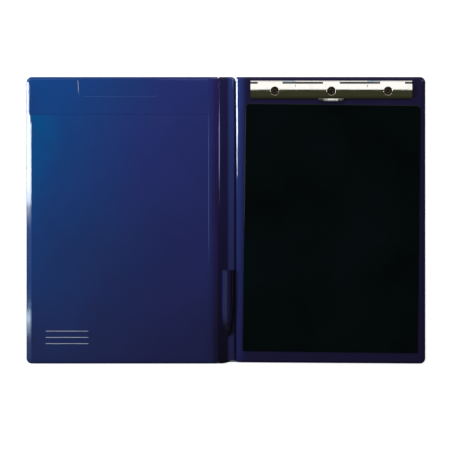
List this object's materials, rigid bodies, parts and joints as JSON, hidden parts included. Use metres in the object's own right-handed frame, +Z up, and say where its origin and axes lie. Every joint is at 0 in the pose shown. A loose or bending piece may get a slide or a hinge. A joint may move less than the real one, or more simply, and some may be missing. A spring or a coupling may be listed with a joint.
{
  "type": "clipboard folder",
  "caption": "Open A4 clipboard folder: foil-covered boards on two fold lines, a sprung steel paper clamp, a writing plate, a document pocket and a pen sleeve.",
  "frame": {"origin": "centre of the open folder's outline, on the surface that it lies on", "axes": "+X from the front cover across the spine to the back, +Y up the page towards the clamp, +Z up out of the page"},
  "size_m": [0.479, 0.3442, 0.0099],
  "materials": {
    "foil": "glossy dark blue soft PVC foil",
    "pocket_foil": "glossy dark blue soft PVC foil",
    "sleeve_foil": "glossy dark blue soft PVC foil",
    "greyboard": "grey pressed paper board",
    "plate": "satin black",
    "tape": "double-sided adhesive tape",
    "clamp_steel": "polished nickel-plated steel",
    "rivet_steel": "nickel-plated steel",
    "spring_steel": "bright spring wire"
  },
  "bodies": {
    "back": {"back_board": "greyboard", "back_outer_foil": "foil", "back_inner_foil": "foil", "plate_tape": "tape", "writing_plate": "plate", "clamp_base": "clamp_steel", "hinge_rod": "rivet_steel", "clamp_rivets": "rivet_steel", "rivet_washers": "rivet_steel", "spring_left": "spring_steel", "spring_right": "spring_steel"},
    "spine": {"spine_board": "greyboard", "spine_outer_foil": "foil", "spine_inner_foil": "foil", "pen_sleeve": "sleeve_foil", "left_hinge_film": "foil", "right_hinge_film": "foil"},
    "front": {"front_board": "greyboard", "front_outer_foil": "foil", "front_inner_foil": "foil", "document_pocket": "pocket_foil", "header_strip": "pocket_foil"},
    "clamp": {"clamp_bar": "clamp_steel"}
  },
  "joints": [
    {"name": "spine_fold", "type": "hinge", "parent": "back", "child": "spine", "pos_m": [0.0123, 0, 0.00145], "axis": [0, 1, 0], "range_deg": [0, 90], "deforming": ["right_hinge_film"]},
    {"name": "cover_fold", "type": "hinge", "parent": "spine", "child": "front", "pos_m": [-0.0086, 0, 0.00145], "axis": [0, 1, 0], "range_deg": [0, 90], "deforming": ["left_hinge_film"]},
    {"name": "clamp_lift", "type": "hinge", "parent": "back", "child": "clamp", "pos_m": [0.12635, 0.16555, 0.005], "axis": [-1, 0, 0], "range_deg": [0, 35], "stiffness_Nm_per_rad": 0.15, "springref_deg": -68.75, "deforming": ["spring_left", "spring_right"]}
  ]
}
